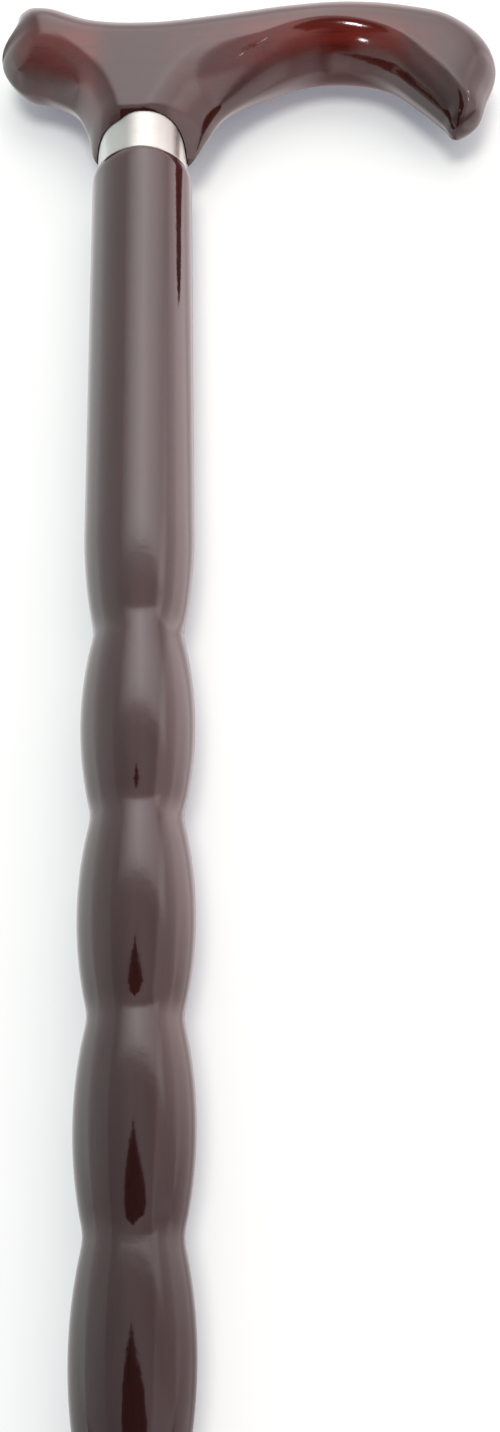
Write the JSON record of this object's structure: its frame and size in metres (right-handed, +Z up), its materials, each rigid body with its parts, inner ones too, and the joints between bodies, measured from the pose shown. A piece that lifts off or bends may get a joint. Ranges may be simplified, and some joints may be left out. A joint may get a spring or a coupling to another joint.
{
  "type": "walking cane",
  "caption": "Wooden walking cane with a hooked hand grip, a beaded turned shaft, a metal collar and a push-on rubber ferrule.",
  "frame": {"origin": "middle of the ferrule's flat sole, on the shaft's axis", "axes": "+Z up the shaft to the handle, +X from the shaft's axis to the nose of the handle, Y across the handle"},
  "size_m": [0.1285, 0.037, 0.9144],
  "materials": {
    "lacquered_wood": "dark red-brown, high-gloss lacquer",
    "polished_metal": "polished silver-coloured band",
    "zinced_steel": "zinc-plated, dull",
    "black_rubber": "moulded, matt"
  },
  "bodies": {
    "stick": {"handle": "lacquered_wood", "collar": "polished_metal", "shaft": "lacquered_wood", "joining_screw": "zinced_steel"},
    "tip": {"rubber_tip": "black_rubber", "tip_washer": "zinced_steel"}
  },
  "joints": [
    {"name": "tip_pull_off", "type": "slide", "parent": "stick", "child": "tip", "axis": [0, 0, -1], "range_m": [0, 0.045]}
  ]
}
